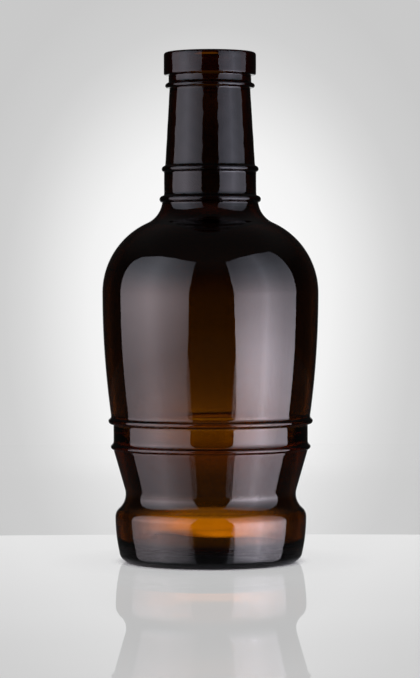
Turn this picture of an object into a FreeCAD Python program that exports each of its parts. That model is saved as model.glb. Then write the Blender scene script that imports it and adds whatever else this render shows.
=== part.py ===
import FreeCAD, Part
import Sketcher
import math
import os
from types import SimpleNamespace

# A two-litre amber glass bottle, moulded in one piece: a heavy lip over a wire groove, a tapered neck
# with a beaded collar, a full shoulder and belly, a beaded belt, and a waist above a flared foot.
# The axis is on Z, and the ring that the bottle stands on is at height 0. Lengths are millimetres.
# Each radius below the belly is set against the one above it, and each radius of the neck against
# the bore, so one size can change and the rest still meets it.
SIZES = {
    # Base: the ring that it stands on, and the hollow pushed up inside the ring
    "bearing_width": 4.5,
    "punt_depth": 8.8,
    "base_thickness": 4.6,
    "punt_edge_radius": 1.5,
    # Foot: heel, barrelled side and rounded top
    "heel_radius": 6.0,
    "foot_side_radius": 100.0,
    "foot_crest_height": 27.0,
    "foot_top_radius": 7.5,
    "foot_flare": 6.3,
    "inner_heel_radius": 7.0,
    "inner_top_radius": 6.5,
    "floor_radius": 255.0,
    # Waist, and the cone that leads up to the belt
    "waist_radius": 11.0,
    "waist_depth": 7.3,
    "cone_height": 27.0,
    # Belt band between its two beads
    "belt_height": 17.4,
    "belt_step": 1.0,
    # Belly, shoulder and the flare up to the collar
    "body_diameter": 131.8,
    "belly_arc_radius": 550.0,
    "belly_height": 78.4,
    "shoulder_radius": 46.9,
    "flare_radius": 15.6,
    "flare_step": 1.1,
    # Collar and neck
    "collar_height": 18.4,
    "collar_step": 0.6,
    "neck_height": 49.2,
    "neck_spread": 2.9,
    "neck_setback": 0.6,
    # Finish: the wire groove, the lip and the bore
    "finish_height": 7.7,
    "lip_height": 14.0,
    "lip_overhang": 3.0,
    "rim_radius": 1.6,
    "lip_edge_radius": 1.3,
    "lip_root_radius": 0.6,
    "bore_diameter": 38.0,
    "mouth_wall": 6.1,
    # Glass of the body, square to its surface
    "wall": 4.2,
    # Beads: how far each stands out, the round of its tip, its hollow flanks, and its lift above its step
    "bead_bite": 0.1,
    "bead_depth": 1.2,
    "belt_lower_bead_height": 1.7,
    "belt_lower_bead_tip": 1.5,
    "belt_lower_bead_above": 3.5,
    "belt_lower_bead_below": 0.8,
    "belt_lower_bead_lift": 2.0,
    "belt_upper_bead_height": 3.1,
    "belt_upper_bead_tip": 1.8,
    "belt_upper_bead_above": 4.0,
    "belt_upper_bead_below": 1.0,
    "belt_upper_bead_lift": 0.3,
    "collar_lower_bead_height": 1.75,
    "collar_lower_bead_tip": 2.2,
    "collar_lower_bead_above": 1.5,
    "collar_lower_bead_below": 1.0,
    "collar_lower_bead_lift": 0.0,
    "collar_upper_bead_height": 1.45,
    "collar_upper_bead_tip": 2.0,
    "collar_upper_bead_above": 1.0,
    "collar_upper_bead_below": 1.0,
    "collar_upper_bead_lift": 0.0,
    "wire_bead_height": 2.7,
    "wire_bead_tip": 1.6,
    "wire_bead_above": 1.2,
    "wire_bead_below": 0.6,
    "wire_bead_lift": 1.5,
}

# Each bead covers a step of the wall: the step's height, then the wall's radius above it and below it
BEADS = {
    "belt_lower_bead": ("belt_bottom", "belt_reach", "belt_reach"),
    "belt_upper_bead": ("belt_top", "belly_foot_reach", "belt_reach"),
    "collar_lower_bead": ("collar_bottom", "collar_reach", "flare_reach"),
    "collar_upper_bead": ("collar_top", "neck_foot_reach", "collar_reach"),
    "wire_bead": ("neck_top", "groove_reach", "neck_top_reach"),
}

# Rings that are rounded after the glass is turned: where the section has the corner, and the radius
ROUNDED = {
    "RimRound": (("lip", "rim"), "rim_radius"),
    "LipEdgeRound": (("lip_under",), "lip_edge_radius"),
    "LipRootRound": (("groove",), "lip_root_radius"),
    "PuntEdgeRound": (("punt",), "punt_edge_radius"),
}

NODE = "glass_bottle"

# How a sketch numbers the places on a line or arc, and its own axes
START, END, CENTRE = range(1, 4)
SIDE_AXIS, UP_AXIS = range(-1, -3, -1)
ORIGIN = (SIDE_AXIS, START)

RIGHT_ANGLE = math.pi / 2
HALF_TURN = math.pi
RING_TOLERANCE = 1e-4


class Outline:
    """A closed outline on the body's XZ plane: a chain of named lines and arcs."""

    def __init__(self, body, name):
        self.sketch = body.newObject("Sketcher::SketchObject", name)
        plane = next(feature for feature in body.Origin.OriginFeatures if feature.Role == "XZ_Plane")
        self.sketch.AttachmentSupport = (plane, [""])
        self.sketch.MapMode = "FlatFace"
        self.first = {}
        self.last = {}

    def add(self, name, geometry, first, last):
        index = self.sketch.addGeometry(geometry)
        self.first[name] = (index, first)
        self.last[name] = (index, last)

    def line(self, name, start, end):
        self.add(name, Part.LineSegment(FreeCAD.Vector(*start), FreeCAD.Vector(*end)), START, END)

    def arc(self, name, centre, radius, angle_from, angle_to):
        circle = Part.Circle(FreeCAD.Vector(*centre), FreeCAD.Vector(0, 0, 1), radius)
        if angle_to > angle_from:
            self.add(name, Part.ArcOfCircle(circle, angle_from, angle_to), START, END)
        else:
            self.add(name, Part.ArcOfCircle(circle, angle_to, angle_from), END, START)

    def edge(self, name):
        return (self.first[name][0],)

    def centre(self, name):
        return (self.first[name][0], CENTRE)

    def rule(self, kind, *places):
        """A constraint that has no size, on lines, arcs and points."""
        numbers = [number for place in places for number in place]
        self.sketch.addConstraint(Sketcher.Constraint(kind, *numbers))

    def close(self, smooth):
        """Join each piece to the next one, tangent after those that are named in smooth."""
        names = list(self.first)
        for here, after in zip(names, names[1:] + names[:1]):
            kind = "Tangent" if here in smooth else "Coincident"
            self.rule(kind, self.last[here], self.first[after])

    def align(self, kind, names):
        for name in names:
            self.rule(kind, self.edge(name))

    def size(self, name, kind, places, formula):
        """A named dimension, driven by a formula over the sizes."""
        numbers = [number for place in places for number in place]
        value = self.sketch.evalExpression(formula)
        value = getattr(value, "Value", value)
        index = self.sketch.addConstraint(Sketcher.Constraint(kind, *numbers, float(value)))
        self.sketch.renameConstraint(index, name)
        self.sketch.setExpression("Constraints." + name, formula)

    def reading(self, name, kind, place):
        """A named distance from the origin that other outlines use, and that drives nothing here."""
        point = self.sketch.getPoint(*place)
        value = point.x if kind == "DistanceX" else point.y
        index = self.sketch.addConstraint(Sketcher.Constraint(kind, *ORIGIN, *place, value))
        self.sketch.setDriving(index, False)
        self.sketch.renameConstraint(index, name)


def polar(centre, radius, angle):
    return (centre[0] + radius * math.cos(angle), centre[1] + radius * math.sin(angle))


def heading(start, end):
    return math.atan2(end[1] - start[1], end[0] - start[0])


def left_contact(centre, radius, point):
    """Angle at which a line from a point above a circle touches its left side."""
    return heading(centre, point) + math.acos(radius / math.dist(centre, point))


def outer_crossing(one, one_radius, other, other_radius):
    """The crossing of two circles that is further from the axis."""
    span = math.dist(one, other)
    along = (span ** 2 + one_radius ** 2 - other_radius ** 2) / (2 * span)
    across = math.sqrt(one_radius ** 2 - along ** 2)
    middle = polar(one, along, heading(one, other))
    turns = (RIGHT_ANGLE, -RIGHT_ANGLE)
    return max(polar(middle, across, heading(one, other) + turn) for turn in turns)


def ogee_rise(radii, step):
    """Height of two tangent arcs that start and end upright and move sideways by a step."""
    return math.sqrt(radii ** 2 - (radii - step) ** 2)


def make_sheet(doc):
    """The driving sizes, each in a cell of its own name."""
    sheet = doc.addObject("Spreadsheet::Sheet", "Sizes")
    for row, (alias, value) in enumerate(SIZES.items(), start=1):
        sheet.set("A%d" % row, alias)
        sheet.set("B%d" % row, str(value))
        sheet.setAlias("B%d" % row, alias)
    doc.recompute()
    return sheet


def section_places(s):
    """Radii, heights, arc centres and tangent angles of the wall's section, worked out from the sizes."""
    p = SimpleNamespace()
    # Radii of the neck, outwards from the bore
    p.bore = s.bore_diameter / 2
    p.groove = p.bore + s.mouth_wall
    p.lip = p.groove + s.lip_overhang
    p.neck_top = p.groove - s.neck_setback
    p.neck_foot = p.neck_top + s.neck_spread
    p.collar = p.neck_foot + s.collar_step
    p.flare = p.collar + s.flare_step
    # Radii of the body, down from the belly
    p.body = s.body_diameter / 2
    p.belly_turn = math.asin(s.belly_height / s.belly_arc_radius)
    p.belly_foot = p.body - s.belly_arc_radius * (1 - math.cos(p.belly_turn))
    p.belt = p.belly_foot - s.belt_step
    p.waist = p.belt - s.waist_depth
    p.foot = p.waist + s.foot_flare
    # Heights, up from the ring that it stands on
    p.crest_z = s.foot_crest_height
    p.waist_z = p.crest_z + ogee_rise(s.foot_top_radius + s.waist_radius, s.foot_flare)
    p.belt_bottom_z = p.waist_z + s.cone_height
    p.belt_top_z = p.belt_bottom_z + s.belt_height
    p.wide_z = p.belt_top_z + s.belly_height
    p.collar_bottom_z = p.wide_z + ogee_rise(s.shoulder_radius + s.flare_radius, p.body - p.flare)
    p.collar_top_z = p.collar_bottom_z + s.collar_height
    p.neck_top_z = p.collar_top_z + s.neck_height
    p.lip_z = p.neck_top_z + s.finish_height
    p.rim_z = p.lip_z + s.lip_height
    # Arc centres, and the angles at which arcs meet their neighbours
    p.side_centre = (p.foot - s.foot_side_radius, p.crest_z)
    side_to_heel = s.foot_side_radius - s.heel_radius
    p.ring_outer = p.side_centre[0] + math.sqrt(side_to_heel ** 2 - (p.crest_z - s.heel_radius) ** 2)
    p.ring_inner = p.ring_outer - s.bearing_width
    p.heel_centre = (p.ring_outer, s.heel_radius)
    p.heel_turn = heading(p.side_centre, p.heel_centre)
    p.top_centre = (p.foot - s.foot_top_radius, p.crest_z)
    p.waist_centre = (p.waist + s.waist_radius, p.waist_z)
    p.top_turn = heading(p.top_centre, p.waist_centre)
    p.cone_turn = left_contact(p.waist_centre, s.waist_radius, (p.belt, p.belt_bottom_z))
    p.belly_centre = (p.body - s.belly_arc_radius, p.wide_z)
    p.shoulder_centre = (p.body - s.shoulder_radius, p.wide_z)
    p.flare_centre = (p.flare + s.flare_radius, p.collar_bottom_z)
    p.shoulder_turn = heading(p.shoulder_centre, p.flare_centre)
    p.punt_radius = (p.ring_inner ** 2 + s.punt_depth ** 2) / (2 * s.punt_depth)
    p.punt_centre = (0, s.punt_depth - p.punt_radius)
    # Inside arcs share the centres of the outside ones, except the rounder top of the foot
    p.inner_flare = s.flare_radius + s.wall
    p.inner_neck_turn = left_contact(p.flare_centre, p.inner_flare, (p.bore, p.neck_top_z))
    p.inner_belly = s.belly_arc_radius - s.wall
    p.inner_belly_turn = math.asin(s.belly_height / p.inner_belly)
    p.inner_waist = s.waist_radius + s.wall
    p.inner_top_centre = (p.foot - s.wall - s.inner_top_radius, p.crest_z)
    inner_radii = p.inner_waist + s.inner_top_radius
    inner_rise = math.sqrt(inner_radii ** 2 - (p.waist_centre[0] - p.inner_top_centre[0]) ** 2)
    p.inner_waist_centre = (p.waist_centre[0], p.crest_z + inner_rise)
    p.inner_top_turn = heading(p.inner_top_centre, p.inner_waist_centre)
    p.inner_belt_top = polar(p.belly_centre, p.inner_belly, -p.inner_belly_turn)
    p.inner_belt_turn = left_contact(p.inner_waist_centre, p.inner_waist, p.inner_belt_top)
    p.inner_side = s.foot_side_radius - s.wall
    # The inner floor is a flatter dome than the hollow under it, so the glass thickens towards the heel
    p.floor_centre = (0, s.punt_depth + s.base_thickness - s.floor_radius)
    p.inner_heel_centre = outer_crossing(p.side_centre, p.inner_side - s.inner_heel_radius,
                                         p.floor_centre, s.floor_radius + s.inner_heel_radius)
    p.inner_heel_turn = heading(p.side_centre, p.inner_heel_centre)
    p.floor_turn = heading(p.floor_centre, p.inner_heel_centre)
    return p


def draw_outside(section, s, p):
    """Base, foot, waist, belt, belly, shoulder, neck and lip, from the axis up to the rim."""
    ring_turn = heading(p.punt_centre, (p.ring_inner, 0))
    section.arc("punt", p.punt_centre, p.punt_radius, RIGHT_ANGLE, ring_turn)
    section.line("bearing", (p.ring_inner, 0), (p.ring_outer, 0))
    section.arc("heel", p.heel_centre, s.heel_radius, -RIGHT_ANGLE, p.heel_turn)
    section.arc("foot_side", p.side_centre, s.foot_side_radius, p.heel_turn, 0)
    section.arc("foot_top", p.top_centre, s.foot_top_radius, 0, p.top_turn)
    section.arc("waist_below", p.waist_centre, s.waist_radius, p.top_turn + HALF_TURN, HALF_TURN)
    section.arc("waist_above", p.waist_centre, s.waist_radius, HALF_TURN, p.cone_turn)
    cone_foot = polar(p.waist_centre, s.waist_radius, p.cone_turn)
    section.line("cone", cone_foot, (p.belt, p.belt_bottom_z))
    section.line("belt", (p.belt, p.belt_bottom_z), (p.belt, p.belt_top_z))
    section.line("belt_step", (p.belt, p.belt_top_z), (p.belly_foot, p.belt_top_z))
    section.arc("belly", p.belly_centre, s.belly_arc_radius, -p.belly_turn, 0)
    section.arc("shoulder", p.shoulder_centre, s.shoulder_radius, 0, p.shoulder_turn)
    section.arc("flare", p.flare_centre, s.flare_radius, p.shoulder_turn + HALF_TURN, HALF_TURN)
    section.line("flare_step", (p.flare, p.collar_bottom_z), (p.collar, p.collar_bottom_z))
    section.line("collar", (p.collar, p.collar_bottom_z), (p.collar, p.collar_top_z))
    section.line("collar_step", (p.collar, p.collar_top_z), (p.neck_foot, p.collar_top_z))
    section.line("neck", (p.neck_foot, p.collar_top_z), (p.neck_top, p.neck_top_z))
    section.line("neck_step", (p.neck_top, p.neck_top_z), (p.groove, p.neck_top_z))
    section.line("groove", (p.groove, p.neck_top_z), (p.groove, p.lip_z))
    section.line("lip_under", (p.groove, p.lip_z), (p.lip, p.lip_z))
    section.line("lip", (p.lip, p.lip_z), (p.lip, p.rim_z))
    section.line("rim", (p.lip, p.rim_z), (p.bore, p.rim_z))


def draw_inside(section, s, p):
    """Bore, inner neck, shoulder, belly, waist and foot, and the domed floor, from the rim to the axis."""
    section.line("bore", (p.bore, p.rim_z), (p.bore, p.neck_top_z))
    neck_foot = polar(p.flare_centre, p.inner_flare, p.inner_neck_turn)
    section.line("inner_neck", (p.bore, p.neck_top_z), neck_foot)
    shoulder_start = p.shoulder_turn + HALF_TURN
    section.arc("inner_flare", p.flare_centre, p.inner_flare, p.inner_neck_turn, shoulder_start)
    section.arc("inner_shoulder", p.shoulder_centre, s.shoulder_radius - s.wall, p.shoulder_turn, 0)
    section.arc("inner_belly", p.belly_centre, p.inner_belly, 0, -p.inner_belly_turn)
    belt_foot = polar(p.inner_waist_centre, p.inner_waist, p.inner_belt_turn)
    section.line("inner_belt", p.inner_belt_top, belt_foot)
    waist_end = p.inner_top_turn + HALF_TURN
    section.arc("inner_waist", p.inner_waist_centre, p.inner_waist, p.inner_belt_turn, waist_end)
    section.arc("inner_foot_top", p.inner_top_centre, s.inner_top_radius, p.inner_top_turn, 0)
    section.arc("inner_foot_side", p.side_centre, p.inner_side, 0, p.inner_heel_turn)
    heel_end = p.floor_turn - HALF_TURN
    section.arc("inner_heel", p.inner_heel_centre, s.inner_heel_radius, p.inner_heel_turn, heel_end)
    section.arc("floor", p.floor_centre, s.floor_radius, p.floor_turn, RIGHT_ANGLE)
    section.line("axis", (0, s.punt_depth + s.base_thickness), (0, s.punt_depth))


def shape_section(section):
    """Joins, upright and level lines, and arcs that share a centre or turn upright at their end."""
    section.close(smooth=(
        "bearing", "heel", "foot_side", "foot_top", "waist_below", "waist_above", "belly", "shoulder",
        "inner_neck", "inner_flare", "inner_shoulder", "inner_belt", "inner_waist", "inner_foot_top",
        "inner_foot_side", "inner_heel"))
    section.align("Horizontal", (
        "bearing", "belt_step", "flare_step", "collar_step", "neck_step", "lip_under", "rim"))
    section.align("Vertical", ("belt", "collar", "groove", "lip", "bore", "axis"))
    section.rule("PointOnObject", section.first["axis"], (UP_AXIS,))
    section.rule("Horizontal", section.first["bearing"], ORIGIN)
    section.rule("PointOnObject", section.centre("punt"), (UP_AXIS,))
    section.rule("Horizontal", section.centre("foot_side"), section.last["foot_side"])
    section.rule("Horizontal", section.centre("waist_below"), section.last["waist_below"])
    section.rule("Equal", section.edge("waist_below"), section.edge("waist_above"))
    section.rule("Horizontal", section.centre("belly"), section.last["belly"])
    section.rule("Horizontal", section.centre("flare"), section.last["flare"])
    section.rule("PointOnObject", section.centre("floor"), (UP_AXIS,))
    section.rule("Coincident", section.centre("inner_flare"), section.centre("flare"))
    section.rule("Coincident", section.centre("inner_shoulder"), section.centre("shoulder"))
    section.rule("Coincident", section.centre("inner_belly"), section.centre("belly"))
    section.rule("Vertical", section.centre("inner_waist"), section.centre("waist_below"))
    section.rule("Horizontal", section.centre("inner_foot_top"), section.last["inner_foot_top"])
    section.rule("Coincident", section.centre("inner_foot_side"), section.centre("foot_side"))
    section.rule("Horizontal", section.last["bore"], section.first["neck_step"])
    section.rule("Horizontal", section.last["inner_belly"], section.first["belt_step"])


def size_section(section):
    """Every dimension of the section, driven by the sheet."""
    first = section.first
    last = section.last
    radii = {
        "heel": "heel_radius", "foot_side": "foot_side_radius", "foot_top": "foot_top_radius",
        "waist_below": "waist_radius", "belly": "belly_arc_radius", "shoulder": "shoulder_radius",
        "flare": "flare_radius", "inner_heel": "inner_heel_radius",
        "inner_foot_top": "inner_top_radius", "floor": "floor_radius",
    }
    for arc, size in radii.items():
        section.size(size, "Radius", [section.edge(arc)], "Sizes." + size)
    section.size("inner_flare_radius", "Radius", [section.edge("inner_flare")],
                 "Sizes.flare_radius + Sizes.wall")
    section.size("inner_waist_radius", "Radius", [section.edge("inner_waist")],
                 "Sizes.waist_radius + Sizes.wall")
    section.size("inner_side_radius", "Radius", [section.edge("inner_foot_side")],
                 "Sizes.foot_side_radius - Sizes.wall")
    section.size("body_radius", "DistanceX", [ORIGIN, last["belly"]], "Sizes.body_diameter / 2")
    section.size("bore_radius", "DistanceX", [ORIGIN, first["bore"]], "Sizes.bore_diameter / 2")
    across = {
        "bearing_width": (first["bearing"], last["bearing"]),
        "foot_flare": (last["waist_below"], last["foot_side"]),
        "waist_depth": (last["waist_below"], first["belt"]),
        "belt_step": (first["belt_step"], last["belt_step"]),
        "flare_step": (last["flare_step"], first["flare_step"]),
        "collar_step": (last["collar_step"], first["collar_step"]),
        "neck_spread": (last["neck"], first["neck"]),
        "neck_setback": (first["neck_step"], last["neck_step"]),
        "lip_overhang": (first["lip_under"], last["lip_under"]),
        "mouth_wall": (last["bore"], first["groove"]),
    }
    for size, places in across.items():
        section.size(size, "DistanceX", places, "Sizes." + size)
    upwards = {
        "punt_depth": (ORIGIN, first["punt"]),
        "base_thickness": (last["axis"], first["axis"]),
        "foot_crest_height": (ORIGIN, last["foot_side"]),
        "cone_height": (last["waist_below"], last["cone"]),
        "belt_height": (first["belt"], last["belt"]),
        "belly_height": (first["belly"], last["belly"]),
        "collar_height": (first["collar"], last["collar"]),
        "neck_height": (first["neck"], last["neck"]),
        "finish_height": (first["groove"], last["groove"]),
        "lip_height": (first["lip"], last["lip"]),
    }
    for size, places in upwards.items():
        section.size(size, "DistanceY", places, "Sizes." + size)


def read_section(section):
    """Where the steps that carry the beads came out."""
    first = section.first
    last = section.last
    heights = {
        "belt_bottom": first["belt"], "belt_top": last["belt"], "collar_bottom": first["collar"],
        "collar_top": last["collar"], "neck_top": last["neck"],
    }
    for name, place in heights.items():
        section.reading(name, "DistanceY", place)
    reaches = {
        "belt_reach": last["belt"], "belly_foot_reach": first["belly"], "flare_reach": last["flare"],
        "collar_reach": first["collar"], "neck_foot_reach": first["neck"],
        "neck_top_reach": last["neck"], "groove_reach": first["groove"],
    }
    for name, place in reaches.items():
        section.reading(name, "DistanceX", place)


def make_section(doc, body, sheet):
    """The section of the glass, from the axis round the outside to the rim and back down inside."""
    section = Outline(body, "WallSection")
    places = section_places(sheet)
    draw_outside(section, sheet, places)
    draw_inside(section, sheet, places)
    shape_section(section)
    size_section(section)
    read_section(section)
    doc.recompute()
    return section


def turn(doc, body, sketch, name):
    """Turn a sketch once round the axis, as more glass."""
    before = body.Shape.Volume if body.Tip else 0.0
    ring = body.newObject("PartDesign::Revolution", name)
    ring.Profile = sketch
    ring.ReferenceAxis = (sketch, ["V_Axis"])
    ring.Angle = 360.0
    doc.recompute()
    if body.Shape.Volume <= before:
        raise RuntimeError(name + " adds no glass")


def make_bead(doc, body, section, sheet, name, step, wall_above, wall_below):
    """A ring that stands out over a step of the wall, with a round tip between two hollow flanks."""
    tip = getattr(sheet, name + "_tip")
    above = getattr(sheet, name + "_above")
    below = getattr(sheet, name + "_below")
    datum = section.sketch.getDatum
    middle_z = datum(step).Value + getattr(sheet, name + "_lift")
    reach = datum(wall_below).Value + getattr(sheet, name + "_height")
    top_x = datum(wall_above).Value - sheet.bead_bite
    bottom_x = datum(wall_below).Value - sheet.bead_bite
    back_x = min(top_x, bottom_x) - sheet.bead_depth
    top_z = middle_z + ogee_rise(tip + above, reach - top_x)
    bottom_z = middle_z - ogee_rise(tip + below, reach - bottom_x)
    tip_centre = (reach - tip, middle_z)
    above_centre = (top_x + above, top_z)
    below_centre = (bottom_x + below, bottom_z)
    above_turn = heading(tip_centre, above_centre)
    below_turn = heading(tip_centre, below_centre)
    title = name.title().replace("_", "")
    bead = Outline(body, title + "Section")
    bead.line("bottom", (back_x, bottom_z), (bottom_x, bottom_z))
    bead.arc("below", below_centre, below, HALF_TURN, below_turn + HALF_TURN)
    bead.arc("tip", tip_centre, tip, below_turn, above_turn)
    bead.arc("above", above_centre, above, above_turn + HALF_TURN, HALF_TURN)
    bead.line("top", (top_x, top_z), (back_x, top_z))
    bead.line("back", (back_x, top_z), (back_x, bottom_z))
    bead.close(smooth=("below", "tip"))
    bead.align("Horizontal", ("bottom", "top"))
    bead.align("Vertical", ("back",))
    bead.rule("Horizontal", bead.centre("below"), bead.first["below"])
    bead.rule("Horizontal", bead.centre("above"), bead.last["above"])
    wall = "WallSection.Constraints."
    cell = "Sizes.%s_" % name
    millimetre = " * 1 mm"
    for arc in ("tip", "above", "below"):
        bead.size(arc + "_radius", "Radius", [bead.edge(arc)], cell + arc)
    bead.size("middle_height", "DistanceY", [ORIGIN, bead.centre("tip")],
              wall + step + " + " + cell + "lift" + millimetre)
    bead.size("tip_reach", "DistanceX", [ORIGIN, bead.centre("tip")],
              "%s%s + (%sheight - %stip)%s" % (wall, wall_below, cell, cell, millimetre))
    bite = " - Sizes.bead_bite" + millimetre
    bead.size("top_reach", "DistanceX", [ORIGIN, bead.first["top"]], wall + wall_above + bite)
    bead.size("bottom_reach", "DistanceX", [ORIGIN, bead.last["bottom"]], wall + wall_below + bite)
    bead.size("back_reach", "DistanceX", [ORIGIN, bead.first["back"]],
              "min(%s%s; %s%s) - (Sizes.bead_bite + Sizes.bead_depth)%s"
              % (wall, wall_above, wall, wall_below, millimetre))
    doc.recompute()
    turn(doc, body, bead.sketch, title)


def ring_names(shape, points):
    """Names of the circular edges round the axis that pass through the given points of the section."""
    names = []
    for number, edge in enumerate(shape.Edges, start=1):
        if edge.Degenerated or not isinstance(edge.Curve, Part.Circle):
            continue
        ring = (edge.Curve.Radius, edge.Curve.Center.z)
        if any(math.dist(ring, point) < RING_TOLERANCE for point in points):
            names.append("Edge%d" % number)
    if len(names) != len(points):
        raise RuntimeError("found %d of %d rings to round" % (len(names), len(points)))
    return names


def round_rings(doc, body, section, name, corners, size):
    """Round the rings that the section's corners make."""
    points = []
    for corner in corners:
        point = section.sketch.getPoint(*section.last[corner])
        points.append((point.x, point.y))
    base = body.Tip
    rounding = body.newObject("PartDesign::Fillet", name)
    rounding.Base = (base, ring_names(base.Shape, points))
    rounding.setExpression("Radius", "Sizes." + size)
    doc.recompute()


def check(doc, body):
    """Stop unless every object was worked out and the glass is one sound solid."""
    for item in doc.Objects:
        if "Invalid" in item.State or "Error" in item.State:
            raise RuntimeError("%s failed: %s" % (item.Label, item.State))
    for sketch in doc.findObjects("Sketcher::SketchObject"):
        if not sketch.FullyConstrained:
            raise RuntimeError(sketch.Label + " is loose")
    if body.Shape.isNull() or not body.Shape.isValid() or len(body.Shape.Solids) != 1:
        raise RuntimeError(body.Label + " is not one sound solid")


def main():
    doc = FreeCAD.newDocument("Bottle")
    sheet = make_sheet(doc)
    body = doc.addObject("PartDesign::Body", "GlassBottle")
    body.Label = NODE
    section = make_section(doc, body, sheet)
    turn(doc, body, section.sketch, "Wall")
    for name, (step, wall_above, wall_below) in BEADS.items():
        make_bead(doc, body, section, sheet, name, step, wall_above, wall_below)
    for name, (corners, size) in ROUNDED.items():
        round_rings(doc, body, section, name, corners, size)
    check(doc, body)
    os.makedirs("parts", exist_ok=True)
    body.Shape.exportStep("parts/%s.step" % body.Label)
    box = body.Shape.optimalBoundingBox()
    print("%s: %.1f x %.1f x %.1f mm, %.1f cm3 of glass"
          % (body.Label, box.XLength, box.YLength, box.ZLength, body.Shape.Volume / 1000))


main()
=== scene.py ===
import math

import bpy
from mathutils import Matrix, Vector


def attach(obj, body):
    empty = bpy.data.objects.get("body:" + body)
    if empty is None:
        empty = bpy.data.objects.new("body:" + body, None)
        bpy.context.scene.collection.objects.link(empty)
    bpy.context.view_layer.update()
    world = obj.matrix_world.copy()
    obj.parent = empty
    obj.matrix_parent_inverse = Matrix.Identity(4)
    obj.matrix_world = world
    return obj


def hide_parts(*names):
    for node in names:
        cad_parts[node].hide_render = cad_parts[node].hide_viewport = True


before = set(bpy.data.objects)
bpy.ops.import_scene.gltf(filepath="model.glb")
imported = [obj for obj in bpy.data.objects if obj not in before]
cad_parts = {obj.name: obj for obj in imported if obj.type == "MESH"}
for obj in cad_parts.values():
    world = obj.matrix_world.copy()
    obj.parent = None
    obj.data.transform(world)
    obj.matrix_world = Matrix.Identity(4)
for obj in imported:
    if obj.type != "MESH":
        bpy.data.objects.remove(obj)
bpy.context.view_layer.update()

# Sizes of the section in millimetres: radii from the axis, heights from the bearing ring, thicknesses
MM = 0.001
BORE_R, GROOVE_R, LIP_R = 19.0, 25.1, 28.1
NECK_TOP_R, NECK_FOOT_R, COLLAR_R, FLARE_R = 24.5, 27.4, 28.0, 29.1
BODY_R, BELLY_FOOT_R, BELT_R, WAIST_R, FOOT_R = 65.9, 60.284, 59.284, 51.984, 58.284
CREST_Z, WAIST_Z, BELT_BOTTOM_Z, BELT_TOP_Z = 27.0, 40.907, 67.907, 85.307
WIDE_Z, COLLAR_BOTTOM_Z, COLLAR_TOP_Z = 163.707, 220.679, 239.079
NECK_TOP_Z, LIP_Z, RIM_Z = 288.279, 295.979, 309.979
WALL, BASE_THICKNESS, PUNT_DEPTH, BEARING_WIDTH = 4.2, 4.6, 8.8, 4.5

# Radii of the section's arcs
HEEL_ARC, SIDE_ARC, TOP_ARC, WAIST_ARC = 6.0, 100.0, 7.5, 11.0
BELLY_ARC, SHOULDER_ARC, FLARE_ARC = 550.0, 46.9, 15.6
INNER_HEEL_ARC, INNER_TOP_ARC, INNER_FLOOR_ARC = 7.0, 6.5, 255.0
RIM_ARC, LIP_EDGE_ARC, LIP_ROOT_ARC = 1.6, 1.3, 0.6

# Small edge between the pushed-up base and the bearing ring: its size, and where its middle and end lie
PUNT_EDGE, EDGE_REACH, EDGE_LEAN, EDGE_DIP, EDGE_RISE = 1.5, 0.55, 0.65, 0.15, 0.13

# Beads: middle height, reach of the tip, tip radius, hollow above with its wall, hollow below with its wall
BEADS = (
    (BELT_BOTTOM_Z + 2.0, BELT_R + 1.7, 1.5, 3.5, BELT_R, 0.8, BELT_R),
    (BELT_TOP_Z + 0.3, BELT_R + 3.1, 1.8, 4.0, BELLY_FOOT_R, 1.0, BELT_R),
    (COLLAR_BOTTOM_Z, FLARE_R + 1.75, 2.2, 1.5, COLLAR_R, 1.0, FLARE_R),
    (COLLAR_TOP_Z, COLLAR_R + 1.45, 2.0, 1.0, NECK_FOOT_R, 1.0, COLLAR_R),
    (NECK_TOP_Z + 1.5, NECK_TOP_R + 2.7, 1.6, 1.2, GROOVE_R, 0.6, NECK_TOP_R),
)
# How deep a bead's hollows cut into the wall, how far it stands out before it shows, and the gap round it
BEAD_BITE, BEAD_SHOWS, BEAD_GAP = 0.1, 0.01, 0.1
# Rise of the wall at a step that a bead covers
LEDGE = 0.2

# Steps of the mesh along the section, and the fewest parts of an arc
OUTER_STEP, INNER_STEP = 1.35, 2.6
PUNT_STEP, RING_STEP, HEEL_STEP, TOP_STEP, WAIST_STEP = 3.0, 0.7, 0.7, 0.6, 0.8
SHOULDER_STEP, FLARE_STEP, GROOVE_STEP = 1.1, 0.8, 1.0
LIP_ROOT_STEP, LIP_EDGE_STEP, RIM_STEP, RIM_FLAT_STEP = 0.2, 0.25, 0.35, 1.5
BEAD_BELOW_STEP, BEAD_TIP_STEP, BEAD_ABOVE_STEP = 0.25, 0.3, 0.5
INNER_FLARE_STEP, INNER_SHOULDER_STEP, INNER_WAIST_STEP = 1.5, 1.8, 1.3
INNER_TOP_STEP, INNER_SIDE_STEP, INNER_HEEL_STEP, INNER_FLOOR_STEP = 0.7, 1.8, 0.9, 3.0
ARC_PARTS, HOLLOW_PARTS, TIP_PARTS = 3, 4, 8
SAME_POINT = 0.02

# Columns of the mesh round the axis, closer at the seams: a gap as a share of a column, then shares of it
COLUMNS = 144
SEAM_OFFSETS = (-0.9, -0.35, -0.12, 0.12, 0.35, 0.9)
SEAM_GAP, SEAM_CLEAR, SEAM_SPREAD = 0.9, 0.2, 0.6

# Waves of the ripples: times round the bottle, height over which they lean by a radian, and shift
SLOW_WAVES = ((3, 19.0, 0.0), (0, 13.0, 1.3))
FINE_WAVES, FINE_SHARE = ((9, -2.6, 0.0), (13, 1.7, 0.8)), 0.7
INNER_WIDE_WAVES, INNER_WIDE_SHARE = ((2, 61.0, 0.7), (5, -34.0, 0.0)), 0.6
INNER_SLOW_WAVES = ((3, 11.0, 0.0), (2, math.inf, -1.1))

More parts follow.
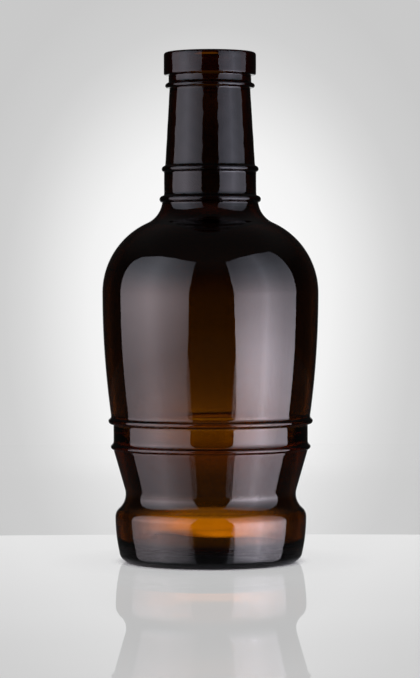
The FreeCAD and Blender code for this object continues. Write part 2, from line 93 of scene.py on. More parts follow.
# Marks of the mould: ripples outside and inside, the two seams, and the knurls on the bearing ring
SLOW_RIPPLE, BODY_RIPPLE, NECK_RIPPLE = 0.020, 0.004, 0.020
NECK_RIPPLE_Z, NECK_RIPPLE_FADE = 228.0, 8.0
INNER_WIDE_RIPPLE, INNER_SLOW_RIPPLE = 0.16, 0.07
RIPPLE_TOP_Z, INNER_RIPPLE_Z = RIM_Z - 3.0, CREST_Z * 0.8
SEAMS = (0.0, math.pi)
SEAM_HEIGHT, SEAM_WIDTH, SEAM_SINK, SEAM_TOP_Z = 0.10, 0.22, 0.02, LIP_Z - 1.0
KNURLS, KNURL_HEIGHT, KNURL_INNER_R, KNURL_OUTER_R = 36, 0.28, 46.4, 49.4
BEARING_TOP_Z = 0.02

# From here on lengths are in metres; tints and zones of the glass go by shares of its whole height
BOTTLE_HEIGHT = 0.31

# Tint of the glass by height, partly painted light and shade: it stands in for thickness, for light from
# behind that the render doesn't carry, bright low down and falling off upwards, and for painted shadow
# under the heel
GLASS_TINT_AND_PAINTED_LIGHT = (
    (0.000, (0.010, 0.009, 0.008)),
    (0.013, (0.020, 0.018, 0.015)),
    (0.024, (0.50, 0.48, 0.45)),
    (0.034, (0.95, 0.92, 0.88)),
    (0.098, (1.00, 0.97, 0.92)),
    (0.104, (0.60, 0.58, 0.54)),
    (0.109, (0.33, 0.31, 0.29)),
    (0.120, (0.18, 0.17, 0.16)),
    (0.170, (0.20, 0.22, 0.175)),
    (0.215, (0.37, 0.42, 0.29)),
    (0.240, (0.62, 0.68, 0.54)),
    (0.270, (0.60, 0.60, 0.52)),
    (0.295, (0.36, 0.35, 0.32)),
    (0.340, (0.26, 0.25, 0.23)),
    (0.420, (0.18, 0.17, 0.16)),
    (0.520, (0.145, 0.135, 0.120)),
    (0.545, (0.110, 0.095, 0.085)),
    (0.575, (0.058, 0.050, 0.044)),
    (0.640, (0.058, 0.050, 0.044)),
    (0.680, (0.150, 0.080, 0.065)),
    (0.712, (0.060, 0.051, 0.045)),
    (0.840, (0.068, 0.058, 0.053)),
    (0.900, (0.120, 0.108, 0.095)),
    (1.000, (0.145, 0.14, 0.125)),
)
WHITE = (1.0, 1.0, 1.0, 1.0)
GLASS_IOR, GLASS_DEPTH, GLASS_DENSITY = 1.52, (0.935, 0.78, 0.0, 1.0), 900.0

# The floor inside the base is rough, and painted near black as painted shade
BASE_REACH, BASE_TOP, BASE_PAINTED_SHADE, BASE_ROUGHNESS = 0.0505, 0.0148, (0.004, 0.004, 0.003, 1.0), 0.8

# Darkening towards grazing angles, stronger on the neck and, by a share, on the foot
GRAZING_SHADE = ((0.02, 1.0), (0.14, 0.76), (0.30, 0.60), (0.52, 0.28), (0.80, 0.10))
GRAZING_POWER, ENDS_POWER, FOOT_SHARE = 1.3, 0.9, 0.6
NECK_ZONE = ((0.60, 0.0), (0.72, 1.0))
FOOT_ZONE = ((0.105, 1.0), (0.135, 0.0))
NECK_REFLECTION = (0.57, 0.60, 0.63, 1.0)

# Cords drawn out upwards in the glass, and dust on it; each noise has a scale and a detail
CORD_NOISE, CORD_STRETCH, CORD_SHADE = (70.0, 3.0), (1.0, 1.0, 0.12), ((0.35, 0.90), (0.65, 1.0))
DUST_NOISE, DUST_ROUGHNESS = (60.0, 3.0), ((0.55, 0.0), (0.85, 0.012))

# Floor plate: how solid, how shiny and how bright it is, by distance from the axis or by grain
FLOOR_RADIUS, FLOOR_SIDES, FLOOR_Z, FLOOR_ROUGHNESS = 1.2, 128, -0.0002, 0.015
FLOOR_FADE = ((0.050, 1.0), (0.061, 0.15), (0.11, 0.04), (0.60, 0.02))
FLOOR_SHINE = ((0.60, 0.38), (1.0, 0.0))
FLOOR_NOISE, FLOOR_GRAIN = (900.0, 2.0), ((0.3, 0.80), (0.7, 0.84))

# Camera, from the photo's outline and from the ellipses of the rim and of the base
CAMERA_DISTANCE, CAMERA_HEIGHT, AIM_HEIGHT = 1.647, 0.1703, 0.1355
AIM_SIDE, ROLL = -0.0003, math.radians(-0.124)
LENS, SENSOR, CLIP_START = 143.3, 36.0, 0.05

# Brightness of the wall by how far a ray points off its middle, and of the table by how far it points down
HALO = ((0.0, 0.955), (0.020, 0.95), (0.036, 0.925), (0.045, 0.885), (0.056, 0.79), (0.067, 0.69),
        (0.076, 0.63), (0.094, 0.585))
HALO_LIFT, HALO_ABOVE, HALO_BELOW, HALO_ZOOM = 0.004, 1.3, -1.9, 10.0
TABLE = ((math.sin(math.radians(5.35)), 0.93), (0.105, 0.885), (0.118, 0.83), (0.132, 0.83),
         (0.1435, 0.865), (0.25, 0.83))
TABLE_ZOOM = 4.0

# The dark room round the studio, a sheet that glows faintly as painted light, how open it is towards the
# wall, and its shade by height
ROOM_RADIUS, ROOM_SEGMENTS, ROOM_RINGS = 3.0, 48, 24
ROOM_OPENING = ((0.965, 0.0), (0.978, 0.45), (0.987, 1.0))
OPENING_ZOOM, OPENING_SHIFT = 10.0, -9.0
ROOM_SHADE = ((0.0, (0.011, 0.010, 0.009)), (0.45, (0.014, 0.013, 0.013)), (0.75, (0.050, 0.048, 0.048)))

# The two soft lights stand on a circle round the bottle; angles are in degrees from the camera's side
PANEL_DISTANCE, PANEL_BOTTOM, PANEL_TOP = 1.0, -0.75, 1.35
PANEL_COLUMNS, PANEL_ROWS, PANEL_STRENGTH, WIDEST_TURN = 60, 40, 10.0, 120
CAST_LOW, CAST_HIGH = 0.20, 0.70
LEFT_PANEL = {
    "casts": ((1.0, 0.88, 0.955), (0.935, 0.965, 1.105)),
    "inner": ((-0.60, 27.0), (-0.09, 25.6), (-0.03, 24.0), (0.05, 22.6), (0.20, 21.5), (0.43, 19.9),
              (1.15, 18.6)),
    "outer": -107.5,
    "tops": ((18, 1.13), (50, 1.25), (72, 1.18), (97, 0.91), (105, 0.72), (107.5, 0.50)),
    "across": ((21, 0.40), (32, 0.53), (46, 0.71), (60, 0.96), (67, 1.0), (75, 0.88), (92, 0.62),
               (107, 0.42)),
    "upwards": ((-0.65, 1.2), (-0.2, 1.8), (-0.09, 2.1), (0.03, 3.15), (0.13, 4.1), (0.20, 3.6),
                (0.286, 3.3), (0.445, 2.65), (0.63, 2.0), (0.85, 1.62), (1.2, 1.35)),
}
RIGHT_PANEL = {
    "casts": ((1.0, 0.93, 1.06), (0.93, 0.97, 1.145)),
    "inner": ((-0.60, 30.5), (-0.10, 27.8), (0.05, 25.3), (0.20, 23.8), (0.43, 21.7), (1.12, 19.7)),
    "outer": 100.0,
    "tops": ((19, 1.12), (30, 1.23), (42, 1.33), (69, 1.35), (94, 1.18), (98.5, 0.92), (100, 0.50)),
    "across": ((26, 0.54), (40, 0.73), (53, 0.85), (60, 1.0), (67, 0.80), (83, 0.53), (100, 0.40)),
    "upwards": ((-0.65, 4.0), (-0.2, 8.0), (-0.1, 10.0), (0.0, 8.2), (0.14, 5.1), (0.20, 4.0),
                (0.286, 3.4), (0.445, 2.5), (0.63, 1.9), (0.85, 1.4), (1.2, 1.1)),
}


def polar(centre, radius, angle):
    return (centre[0] + radius * math.cos(angle), centre[1] + radius * math.sin(angle))


def heading(start, end):
    return math.atan2(end[1] - start[1], end[0] - start[0])


def left_contact(centre, radius, point):
    """Angle at which a line from a point above a circle touches its left side."""
    return heading(centre, point) + math.acos(radius / math.dist(centre, point))


def line(start, end, step):
    count = max(1, math.ceil(math.dist(start, end) / step))
    return [(start[0] + (end[0] - start[0]) * i / count, start[1] + (end[1] - start[1]) * i / count)
            for i in range(count + 1)]


def arc(centre, radius, angle_from, angle_to, step, least=ARC_PARTS):
    count = max(least, math.ceil(abs(angle_to - angle_from) * radius / step))
    turn = angle_to - angle_from
    return [polar(centre, radius, angle_from + turn * i / count) for i in range(count + 1)]


def chain(*runs):
    """Join runs of points end to end, without doubled points."""
    points = []
    for run in runs:
        for point in run:
            if not points or math.dist(points[-1], point) > SAME_POINT:
                points.append(point)
    return points


def reach_at(wall, height):
    """Radius of the wall at a height."""
    for low, high in zip(wall, wall[1:]):
        if low[1] <= height <= high[1] and high[1] > low[1]:
            return low[0] + (high[0] - low[0]) * (height - low[1]) / (high[1] - low[1])
    return wall[-1][0]


def bead_points(middle, reach, tip, above, wall_above, below, wall_below):
    """Outline of a bead, from its lower hollow over the round tip to its upper hollow."""
    top_x, bottom_x = wall_above - BEAD_BITE, wall_below - BEAD_BITE
    rise = math.sqrt((tip + above) ** 2 - (tip + above - reach + top_x) ** 2)
    drop = math.sqrt((tip + below) ** 2 - (tip + below - reach + bottom_x) ** 2)
    tip_centre = (reach - tip, middle)
    above_centre = (top_x + above, middle + rise)
    below_centre = (bottom_x + below, middle - drop)
    above_turn = heading(tip_centre, above_centre)
    below_turn = heading(tip_centre, below_centre)
    return chain(arc(below_centre, below, math.pi, below_turn + math.pi, BEAD_BELOW_STEP, HOLLOW_PARTS),
                 arc(tip_centre, tip, below_turn, above_turn, BEAD_TIP_STEP, TIP_PARTS),
                 arc(above_centre, above, above_turn + math.pi, math.pi, BEAD_ABOVE_STEP, HOLLOW_PARTS))


def add_bead(wall, bead):
    """Put a bead's points in place of the wall's points that it covers."""
    shown = [point for point in bead if point[0] > reach_at(wall, point[1]) + BEAD_SHOWS]
    low, high = shown[0][1] - BEAD_GAP, shown[-1][1] + BEAD_GAP
    under = [point for point in wall if point[1] < low]
    over = [point for point in wall if point[1] > high]
    return under + shown + over


def outer_outline():
    """Outside of the glass, from the middle of the base up to the rim and over it to the bore."""
    side_centre = (FOOT_R - SIDE_ARC, CREST_Z)
    ring_outer = side_centre[0] + math.sqrt((SIDE_ARC - HEEL_ARC) ** 2 - (CREST_Z - HEEL_ARC) ** 2)
    ring_inner = ring_outer - BEARING_WIDTH
    heel_centre = (ring_outer, HEEL_ARC)
    heel_turn = heading(side_centre, heel_centre)
    punt_radius = (ring_inner ** 2 + PUNT_DEPTH ** 2) / (2 * PUNT_DEPTH)
    punt_centre = (0.0, PUNT_DEPTH - punt_radius)
    top_centre = (FOOT_R - TOP_ARC, CREST_Z)
    waist_centre = (WAIST_R + WAIST_ARC, WAIST_Z)
    top_turn = heading(top_centre, waist_centre)
    cone_turn = left_contact(waist_centre, WAIST_ARC, (BELT_R, BELT_BOTTOM_Z))
    belly_turn = math.asin((WIDE_Z - BELT_TOP_Z) / BELLY_ARC)
    shoulder_centre = (BODY_R - SHOULDER_ARC, WIDE_Z)
    flare_centre = (FLARE_R + FLARE_ARC, COLLAR_BOTTOM_Z)
    shoulder_turn = heading(shoulder_centre, flare_centre)

    punt_end = heading(punt_centre, (ring_inner, 0.0)) + PUNT_EDGE / punt_radius
    edge_start = polar(punt_centre, punt_radius, punt_end)
    edge_end = (ring_inner + PUNT_EDGE * EDGE_REACH, 0.0)
    edge_middle = (edge_start[0] * (1 - EDGE_LEAN) + edge_end[0] * EDGE_LEAN - EDGE_DIP, EDGE_RISE)
    base = chain(arc(punt_centre, punt_radius, math.pi / 2, punt_end, PUNT_STEP),
                 [edge_start, edge_middle, edge_end],
                 line(edge_end, (ring_outer, 0.0), RING_STEP))

    wall = chain(arc(heel_centre, HEEL_ARC, -math.pi / 2, heel_turn, HEEL_STEP),
                 arc(side_centre, SIDE_ARC, heel_turn, 0.0, OUTER_STEP),
                 arc(top_centre, TOP_ARC, 0.0, top_turn, TOP_STEP),
                 arc(waist_centre, WAIST_ARC, top_turn + math.pi, cone_turn, WAIST_STEP),
                 line(polar(waist_centre, WAIST_ARC, cone_turn), (BELT_R, BELT_BOTTOM_Z), OUTER_STEP),
                 line((BELT_R, BELT_BOTTOM_Z), (BELT_R, BELT_TOP_Z), OUTER_STEP),
                 arc((BODY_R - BELLY_ARC, WIDE_Z), BELLY_ARC, -belly_turn, 0.0, OUTER_STEP),
                 arc(shoulder_centre, SHOULDER_ARC, 0.0, shoulder_turn, SHOULDER_STEP),
                 arc(flare_centre, FLARE_ARC, shoulder_turn + math.pi, math.pi, FLARE_STEP),
                 line((COLLAR_R, COLLAR_BOTTOM_Z + LEDGE), (COLLAR_R, COLLAR_TOP_Z), OUTER_STEP),
                 line((NECK_FOOT_R, COLLAR_TOP_Z + LEDGE), (NECK_TOP_R, NECK_TOP_Z), OUTER_STEP),
                 line((GROOVE_R, NECK_TOP_Z + LEDGE), (GROOVE_R, LIP_Z - LIP_ROOT_ARC), GROOVE_STEP))
    for bead in BEADS:
        wall = add_bead(wall, bead_points(*bead))

    root_centre = (GROOVE_R + LIP_ROOT_ARC, LIP_Z - LIP_ROOT_ARC)
    edge_centre = (LIP_R - LIP_EDGE_ARC, LIP_Z + LIP_EDGE_ARC)
    outer_rim = (LIP_R - RIM_ARC, RIM_Z - RIM_ARC)
    inner_rim = (BORE_R + RIM_ARC, RIM_Z - RIM_ARC)
    lip = chain(arc(root_centre, LIP_ROOT_ARC, math.pi, math.pi / 2, LIP_ROOT_STEP),
                arc(edge_centre, LIP_EDGE_ARC, -math.pi / 2, 0.0, LIP_EDGE_STEP),
                line((LIP_R, LIP_Z + LIP_EDGE_ARC), (LIP_R, RIM_Z - RIM_ARC), OUTER_STEP),
                arc(outer_rim, RIM_ARC, 0.0, math.pi / 2, RIM_STEP),
                line((outer_rim[0], RIM_Z), (inner_rim[0], RIM_Z), RIM_FLAT_STEP),
                arc(inner_rim, RIM_ARC, math.pi / 2, math.pi, RIM_STEP))
    return chain(base, wall, lip)


def inner_outline():
    """Inside of the glass, from the bore down to the middle of the domed floor."""
    flare_centre = (FLARE_R + FLARE_ARC, COLLAR_BOTTOM_Z)
    inner_flare = FLARE_ARC + WALL
    neck_turn = left_contact(flare_centre, inner_flare, (BORE_R, NECK_TOP_Z))
    shoulder_centre = (BODY_R - SHOULDER_ARC, WIDE_Z)
    shoulder_turn = heading(shoulder_centre, flare_centre)
    belly_centre = (BODY_R - BELLY_ARC, WIDE_Z)
    inner_belly = BELLY_ARC - WALL
    belly_turn = math.asin((WIDE_Z - BELT_TOP_Z) / inner_belly)
    side_centre = (FOOT_R - SIDE_ARC, CREST_Z)
    top_centre = (FOOT_R - WALL - INNER_TOP_ARC, CREST_Z)
    inner_waist = WAIST_ARC + WALL
    waist_x = WAIST_R + WAIST_ARC
    waist_rise = math.sqrt((inner_waist + INNER_TOP_ARC) ** 2 - (waist_x - top_centre[0]) ** 2)
    waist_centre = (waist_x, CREST_Z + waist_rise)
    top_turn = heading(top_centre, waist_centre)
    belt_top = polar(belly_centre, inner_belly, -belly_turn)
    belt_turn = left_contact(waist_centre, inner_waist, belt_top)
    floor_centre = (0.0, PUNT_DEPTH + BASE_THICKNESS - INNER_FLOOR_ARC)

    # The heel's circle touches the inner side from inside and the domed floor from above
    to_side, to_floor = SIDE_ARC - WALL - INNER_HEEL_ARC, INNER_FLOOR_ARC + INNER_HEEL_ARC
    span = math.dist(side_centre, floor_centre)
    along = (span ** 2 + to_side ** 2 - to_floor ** 2) / (2 * span)
    across = math.sqrt(to_side ** 2 - along ** 2)
    down = heading(side_centre, floor_centre)
    middle = polar(side_centre, along, down)
    heel_centre = max(polar(middle, across, down + turn) for turn in (math.pi / 2, -math.pi / 2))
    heel_turn = heading(side_centre, heel_centre)
    floor_turn = heading(floor_centre, heel_centre)
    return chain(
        line((BORE_R, RIM_Z - RIM_ARC), (BORE_R, NECK_TOP_Z), INNER_STEP),
        line((BORE_R, NECK_TOP_Z), polar(flare_centre, inner_flare, neck_turn), INNER_STEP),
        arc(flare_centre, inner_flare, neck_turn, shoulder_turn + math.pi, INNER_FLARE_STEP),
        arc(shoulder_centre, SHOULDER_ARC - WALL, shoulder_turn, 0.0, INNER_SHOULDER_STEP),
        arc(belly_centre, inner_belly, 0.0, -belly_turn, INNER_STEP),
        line(belt_top, polar(waist_centre, inner_waist, belt_turn), INNER_STEP),
        arc(waist_centre, inner_waist, belt_turn, top_turn + math.pi, INNER_WAIST_STEP),
        arc(top_centre, INNER_TOP_ARC, top_turn, 0.0, INNER_TOP_STEP),
        arc(side_centre, SIDE_ARC - WALL, 0.0, heel_turn, INNER_SIDE_STEP),
        arc(heel_centre, INNER_HEEL_ARC, heel_turn, floor_turn - math.pi, INNER_HEEL_STEP),
        arc(floor_centre, INNER_FLOOR_ARC, floor_turn, math.pi / 2, INNER_FLOOR_STEP))


def waves(angle, height, table):
    return [math.sin(count * angle + height / length + shift) for count, length, shift in table]


def outer_ripple(angle, height):
    """Slow settling waves that a mould leaves on the outside of the glass, in millimetres."""
    neck = 1.0 / (1.0 + math.exp((NECK_RIPPLE_Z - height) / NECK_RIPPLE_FADE))
    slow = math.prod(waves(angle, height, SLOW_WAVES))
    fine, finer = waves(angle, height, FINE_WAVES)
    return SLOW_RIPPLE * slow + (BODY_RIPPLE + NECK_RIPPLE * neck) * (fine + FINE_SHARE * finer)


def inner_ripple(angle, height):
    """Uneven thickness on the inside, where the glass was blown and no mould touched it."""
    wide, wider = waves(angle, height, INNER_WIDE_WAVES)
    slow = math.prod(waves(angle, height, INNER_SLOW_WAVES))
    return INNER_WIDE_RIPPLE * (wide + INNER_WIDE_SHARE * wider) + INNER_SLOW_RIPPLE * slow


def turn_between(angle, other):
    """Shortest turn from one angle to another."""
    return math.atan2(math.sin(angle - other), math.cos(angle - other))


def seam_rise(angle, reach):
    """Fine raised line where the two halves of the mould met, on the left and on the right."""
    return sum(SEAM_HEIGHT * math.exp(-(turn_between(angle, seam) * reach / SEAM_WIDTH) ** 2)
               for seam in SEAMS)


def column_angles():
    angles = [math.tau * i / COLUMNS for i in range(COLUMNS)]
    gap = math.tau / COLUMNS * SEAM_GAP
    for seam in SEAMS:
        angles = [angle for angle in angles if abs(turn_between(angle, seam)) > SEAM_CLEAR * gap]
        angles += [(seam + gap * offset * SEAM_SPREAD) % math.tau for offset in SEAM_OFFSETS] + [seam]
    return sorted(angles)


def glass_point(reach, height, angle, is_outside):
    """A point of the section turned to an angle, with the marks of the mould on it, in metres."""
    radius, level = reach, height
    if is_outside:
        if HEEL_ARC < height < RIPPLE_TOP_Z:
            radius += outer_ripple(angle, height)
            if height < SEAM_TOP_Z:
                radius += seam_rise(angle, reach) - SEAM_SINK
        elif height < BEARING_TOP_Z and KNURL_INNER_R < reach < KNURL_OUTER_R:
            across = (reach - KNURL_INNER_R) / (KNURL_OUTER_R - KNURL_INNER_R)
            swell = 0.5 + 0.5 * math.cos(KNURLS * angle)
            level += KNURL_HEIGHT * swell * math.sin(across * math.pi)
    elif INNER_RIPPLE_Z < height < NECK_TOP_Z:
        radius += inner_ripple(angle, height)
    return (radius * MM * math.cos(angle), radius * MM * math.sin(angle), level * MM)


def make_bottle():
    """The section turned round the axis, closed by a point under the base and one on the inner floor."""
    outside = outer_outline()
    outline = chain(outside, inner_outline())
    rings = outline[1:-1]
    angles = column_angles()
    count = len(angles)
    vertices = [glass_point(reach, height, angle, index < len(outside))
                for index, (reach, height) in enumerate(rings, 1) for angle in angles]
    under, above = len(vertices), len(vertices) + 1
    vertices += [(0.0, 0.0, outline[0][1] * MM), (0.0, 0.0, outline[-1][1] * MM)]
    faces = []
    for ring in range(len(rings) - 1):
        for column in range(count):
            after = (column + 1) % count
            faces.append((ring * count + column, ring * count + after,
                          (ring + 1) * count + after, (ring + 1) * count + column))
    last = (len(rings) - 1) * count
    for column in range(count):
        after = (column + 1) % count
        faces.append((under, after, column))
        faces.append((above, last + column, last + after))
    mesh = bpy.data.meshes.new("glass_bottle_lathe")
    mesh.from_pydata(vertices, [], faces)
    mesh.validate()
    mesh.polygons.foreach_set("use_smooth", [True] * len(mesh.polygons))
    mesh.update()
    bottle = bpy.data.objects.new("bottle_glass", mesh)
    bpy.context.scene.collection.objects.link(bottle)
    return bottle


class Nodes:
    """Shorthand for building a node tree."""

    def __init__(self, tree):
        self.tree = tree
        tree.nodes.clear()

    def add(self, kind, settings=None, **inputs):
        node = self.tree.nodes.new(kind)
        for name, value in (settings or {}).items():
            setattr(node, name, value)
        for name, value in inputs.items():
            self.put(node, name.replace("_", " "), value)
        return node

    def put(self, node, name, value):
        """Link or set an input, given by its name or its number."""
        socket = node.inputs[name]
        if isinstance(value, bpy.types.NodeSocket):
            self.tree.links.new(value, socket)
        else:
            socket.default_value = value

    def put_all(self, node, values):
        for index, value in enumerate(values):
            self.put(node, index, value)

    def math(self, operation, *values):
        node = self.add("ShaderNodeMath", {"operation": operation})
        self.put_all(node, values)
        return node.outputs[0]

    def vector(self, operation, output, *values):
        node = self.add("ShaderNodeVectorMath", {"operation": operation})
        self.put_all(node, values)
        return node.outputs[output]

    def parts(self, vector):
        return self.add("ShaderNodeSeparateXYZ", Vector=vector).outputs

    def coordinate(self, kind):
        return self.add("ShaderNodeTexCoord").outputs[kind]

    def noise(self, place, scale, detail):
        return self.add("ShaderNodeTexNoise", Vector=place, Scale=scale, Detail=detail).outputs["Fac"]

    def ramp(self, factor, stops, kind="LINEAR"):
        """Colours or grey levels by a factor."""
        node = self.add("ShaderNodeValToRGB", Fac=factor)
        node.color_ramp.interpolation = kind
        elements = node.color_ramp.elements
        while len(elements) < len(stops):
            elements.new(0.5)
        for element, (place, colour) in zip(elements, stops):
            element.position = place
            element.color = (*colour, 1.0) if isinstance(colour, tuple) else (colour, colour, colour, 1.0)
        return node.outputs["Color"]

    def mix(self, factor, one, other, blend="MIX"):
        node = self.add("ShaderNodeMix", {"data_type": "RGBA", "blend_type": blend})
        for index, value in ((0, factor), (6, one), (7, other)):
            self.put(node, index, value)
        return node.outputs[2]

    def mix_shaders(self, factor, one, other):
        node = self.add("ShaderNodeMixShader")
        self.put_all(node, (factor, one, other))
        return node.outputs["Shader"]


def new_material(name):
    material = bpy.data.materials.new(name)
    material.use_nodes = True
    return material, Nodes(material.node_tree)


def amber_glass():
    """Amber glass whose tint, partly painted light and shade, changes with height and darkens at grazing
    angles.

    The floor inside the base is painted near black as painted shade and is rough, the neck reflects less
    than the rest, and faint cords and a trace of dust lie over all of it.
    """
    material, nodes = new_material("amber_glass")
    place = nodes.coordinate("Object")
    height = nodes.parts(place)["Z"]
    level = nodes.math("DIVIDE", height, BOTTLE_HEIGHT)
    # Painted light and shade by height: bright low down where light from behind is strong, painted shadow
    # under the heel
    tint_and_painted_light = nodes.ramp(level, GLASS_TINT_AND_PAINTED_LIGHT)
    reach = nodes.vector("LENGTH", "Value", nodes.vector("MULTIPLY", "Vector", place, (1.0, 1.0, 0.0)))
    # Painted shade: the floor inside the base is painted near black, and it is made rough
    base_shade_and_rough = nodes.math("MULTIPLY", nodes.math("LESS_THAN", reach, BASE_REACH),
                         nodes.math("LESS_THAN", height, BASE_TOP))
    tint_and_painted_light = nodes.mix(base_shade_and_rough, tint_and_painted_light, BASE_PAINTED_SHADE)

    grazing = nodes.add("ShaderNodeLayerWeight", Blend=0.5).outputs["Facing"]
    neck = nodes.ramp(level, NECK_ZONE)
    foot = nodes.ramp(level, FOOT_ZONE)
    ends = nodes.math("MAXIMUM", neck, nodes.math("MULTIPLY", foot, FOOT_SHARE))
    shade = nodes.math("POWER", nodes.ramp(grazing, GRAZING_SHADE),
                       nodes.math("MULTIPLY_ADD", ends, ENDS_POWER, GRAZING_POWER))
    tint_and_painted_light = nodes.mix(1.0, tint_and_painted_light, shade, "MULTIPLY")

    stretched = nodes.add("ShaderNodeMapping", Vector=place, Scale=CORD_STRETCH).outputs["Vector"]
    cords = nodes.ramp(nodes.noise(stretched, *CORD_NOISE), CORD_SHADE)
    dust = nodes.ramp(nodes.noise(place, *DUST_NOISE), DUST_ROUGHNESS)
    rough = nodes.math("MAXIMUM", dust, nodes.math("MULTIPLY", base_shade_and_rough, BASE_ROUGHNESS))
    glass = nodes.add("ShaderNodeBsdfPrincipled",
                      Base_Color=nodes.mix(1.0, tint_and_painted_light, cords, "MULTIPLY"),
                      Roughness=rough,
                      Specular_Tint=nodes.mix(neck, WHITE, NECK_REFLECTION),
                      Transmission_Weight=1.0, IOR=GLASS_IOR)
    depth = nodes.add("ShaderNodeVolumeAbsorption", Color=GLASS_DEPTH, Density=GLASS_DENSITY)
    nodes.add("ShaderNodeOutputMaterial", Surface=glass.outputs["BSDF"], Volume=depth.outputs["Volume"])
    return material


def make_floor():
    """A clear pale plate that fades into the background, with a faint reflection of the bottle."""
    bpy.ops.mesh.primitive_circle_add(vertices=FLOOR_SIDES, radius=FLOOR_RADIUS, fill_type="NGON")
    floor = bpy.context.object
    floor.name = "floor"
    material, nodes = new_material("floor_plate")
    place = nodes.coordinate("Object")
    off_axis = nodes.vector("LENGTH", "Value", place)
    fade = nodes.ramp(off_axis, FLOOR_FADE, "EASE")
    shine = nodes.ramp(off_axis, FLOOR_SHINE, "EASE")
    paint = nodes.ramp(nodes.noise(place, *FLOOR_NOISE), FLOOR_GRAIN)
    matt = nodes.add("ShaderNodeBsdfDiffuse", Color=paint).outputs["BSDF"]
    clear = nodes.add("ShaderNodeBsdfTransparent", Color=WHITE).outputs["BSDF"]
    gloss = nodes.add("ShaderNodeBsdfGlossy", Color=WHITE, Roughness=FLOOR_ROUGHNESS).outputs["BSDF"]
    plate = nodes.mix_shaders(shine, nodes.mix_shaders(fade, clear, matt), gloss)
    nodes.add("ShaderNodeOutputMaterial", Surface=plate)
    floor.data.materials.append(material)
    floor.location.z = FLOOR_Z


def make_world():
    """A pale wall, brightest behind the bottle, above a pale table."""
    world = bpy.data.worlds.new("studio")
    bpy.context.scene.world = world
    world.use_nodes = True
    nodes = Nodes(world.node_tree)
    ray = nodes.parts(nodes.coordinate("Generated"))
    beside = nodes.math("POWER", ray["X"], 2.0)
    rise = nodes.math("ADD", ray["Z"], HALO_LIFT)
    above = nodes.math("POWER", nodes.math("MAXIMUM", nodes.math("DIVIDE", rise, HALO_ABOVE),
                                           nodes.math("DIVIDE", rise, HALO_BELOW)), 2.0)
    ahead = nodes.math("LESS_THAN", ray["Y"], 0.0)
    off_middle = nodes.math("ADD", nodes.math("SQRT", nodes.math("ADD", beside, above)), ahead)
    wall = nodes.ramp(nodes.math("MULTIPLY", off_middle, HALO_ZOOM),
                      [(HALO_ZOOM * off, level) for off, level in HALO])
    table = nodes.ramp(nodes.math("MULTIPLY", ray["Z"], -TABLE_ZOOM),
                       [(TABLE_ZOOM * drop, level) for drop, level in TABLE])
    pale = nodes.mix(nodes.math("LESS_THAN", ray["Z"], -TABLE[0][0]), wall, table)
    studio = nodes.add("ShaderNodeBackground", Color=pale).outputs["Background"]
    nodes.add("ShaderNodeOutputWorld", Surface=studio)


def make_dark_room():
    """Dark room all round the studio that glows faintly as painted light, lighter towards the top, seen
    only in reflections, with a soft gap in front of the wall.
    """
    bpy.ops.mesh.primitive_uv_sphere_add(segments=ROOM_SEGMENTS, ring_count=ROOM_RINGS, radius=ROOM_RADIUS)
    room = bpy.context.object
    room.name = "dark_room"
    material, nodes = new_material("dark_room_glow")
    place = nodes.parts(nodes.coordinate("Object"))
    towards_wall = nodes.math("DIVIDE", place["Y"], ROOM_RADIUS)
    opening = nodes.ramp(nodes.math("MULTIPLY_ADD", towards_wall, OPENING_ZOOM, OPENING_SHIFT),
                         [(OPENING_ZOOM * along + OPENING_SHIFT, level) for along, level in ROOM_OPENING])
    shade = nodes.ramp(nodes.math("DIVIDE", place["Z"], ROOM_RADIUS), ROOM_SHADE)
    # Painted light: the dark room glows faintly, lighter towards the top
    room_glow = nodes.add("ShaderNodeEmission", Color=shade, Strength=1.0).outputs["Emission"]
    clear = nodes.add("ShaderNodeBsdfTransparent", Color=WHITE).outputs["BSDF"]
    nodes.add("ShaderNodeOutputMaterial", Surface=nodes.mix_shaders(opening, room_glow, clear))
    room.data.materials.append(material)
    room.visible_camera = False
    room.visible_diffuse = False
    room.visible_transmission = False
    room.visible_shadow = False


def level_at(pairs, place):
    """Level at a place between given places and levels."""
    for (low, one), (high, other) in zip(pairs, pairs[1:]):
        if place <= high:
            return one + (other - one) * max(0.0, place - low) / (high - low)
    return pairs[-1][1]


def panel_mesh(name, inner, outer, tops):
    """A tall sheet bent round the bottle, with a slanting inner edge and a round top."""
    side = math.copysign(1.0, outer)
    top_edge = inner[-1][1]
    vertices = []
    for row in range(PANEL_ROWS + 1):
        for column in range(PANEL_COLUMNS + 1):
            nominal = top_edge + (abs(outer) - top_edge) * column / PANEL_COLUMNS
            height = PANEL_BOTTOM + (level_at(tops, nominal) - PANEL_BOTTOM) * row / PANEL_ROWS
            edge = level_at(inner, height)
            angle = side * math.radians(edge + (abs(outer) - edge) * column / PANEL_COLUMNS)
            vertices.append((PANEL_DISTANCE * math.sin(angle), -PANEL_DISTANCE * math.cos(angle), height))
    width = PANEL_COLUMNS + 1
    faces = []
    for row in range(PANEL_ROWS):
        for column in range(PANEL_COLUMNS):
            first = row * width + column
            faces.append((first, first + 1, first + width + 1, first + width))
    mesh = bpy.data.meshes.new(name)
    mesh.from_pydata(vertices, [], faces)
    return mesh


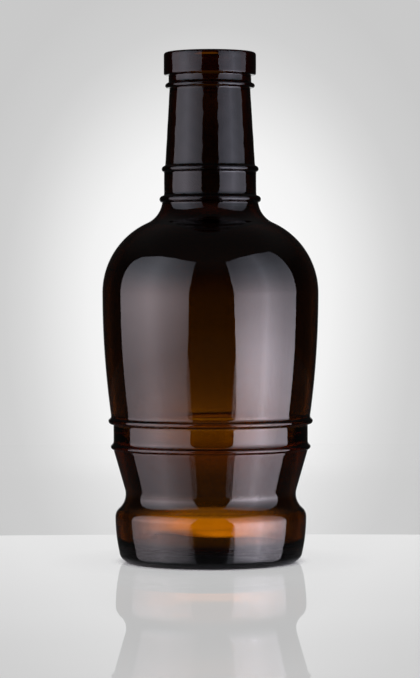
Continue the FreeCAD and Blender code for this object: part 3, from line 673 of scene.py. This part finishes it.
def make_panel(name, casts, inner, outer, tops, across, upwards):
    """A tall soft light from an inner to an outer angle, on the left if the outer one is negative.

    The inner edge is given as heights and angles, the top as angles and heights. The light changes
    with the angle and with the height, each given as places and levels, and its cast goes from the
    lower colour to the upper one.
    """
    mesh = panel_mesh(name, inner, outer, tops)
    panel = bpy.data.objects.new(name, mesh)
    bpy.context.scene.collection.objects.link(panel)
    material, nodes = new_material(name)
    place = nodes.parts(nodes.coordinate("Object"))
    forward = nodes.math("MULTIPLY", place["Y"], -1.0)
    angle = nodes.math("ARCTAN2", nodes.math("ABSOLUTE", place["X"]), forward)
    turn = nodes.ramp(nodes.math("DIVIDE", angle, math.radians(WIDEST_TURN)),
                      [(degrees / WIDEST_TURN, level) for degrees, level in across])
    span = PANEL_TOP - PANEL_BOTTOM
    levels = [((height - PANEL_BOTTOM) / span, level / PANEL_STRENGTH) for height, level in upwards]
    rise = nodes.ramp(nodes.math("DIVIDE", nodes.math("SUBTRACT", place["Z"], PANEL_BOTTOM), span), levels)
    cast = nodes.ramp(place["Z"], ((CAST_LOW, casts[0]), (CAST_HIGH, casts[1])))
    glow = nodes.mix(1.0, nodes.mix(1.0, turn, rise, "MULTIPLY"), cast, "MULTIPLY")
    light = nodes.add("ShaderNodeEmission", Color=glow, Strength=PANEL_STRENGTH).outputs["Emission"]
    nodes.add("ShaderNodeOutputMaterial", Surface=light)
    mesh.materials.append(material)
    panel.visible_camera = False


def make_camera():
    camera_data = bpy.data.cameras.new("camera")
    camera = bpy.data.objects.new("camera", camera_data)
    bpy.context.scene.collection.objects.link(camera)
    camera_data.sensor_fit = "VERTICAL"
    camera_data.sensor_height = SENSOR
    camera_data.lens = LENS
    camera_data.clip_start = CLIP_START
    camera.location = (AIM_SIDE, -CAMERA_DISTANCE, CAMERA_HEIGHT)
    look = Vector((AIM_SIDE, 0.0, AIM_HEIGHT)) - camera.location
    turn = look.to_track_quat("-Z", "Y").to_matrix().to_4x4()
    camera.rotation_euler = (turn @ Matrix.Rotation(ROLL, 4, "Z")).to_euler()
    bpy.context.scene.camera = camera


bottle = make_bottle()
bottle.data.materials.append(amber_glass())
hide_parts("glass_bottle")
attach(bottle, "root")

make_floor()
make_world()
make_dark_room()
make_panel("left_panel", **LEFT_PANEL)
make_panel("right_panel", **RIGHT_PANEL)
make_camera()
bpy.context.scene.view_settings.view_transform = "Standard"
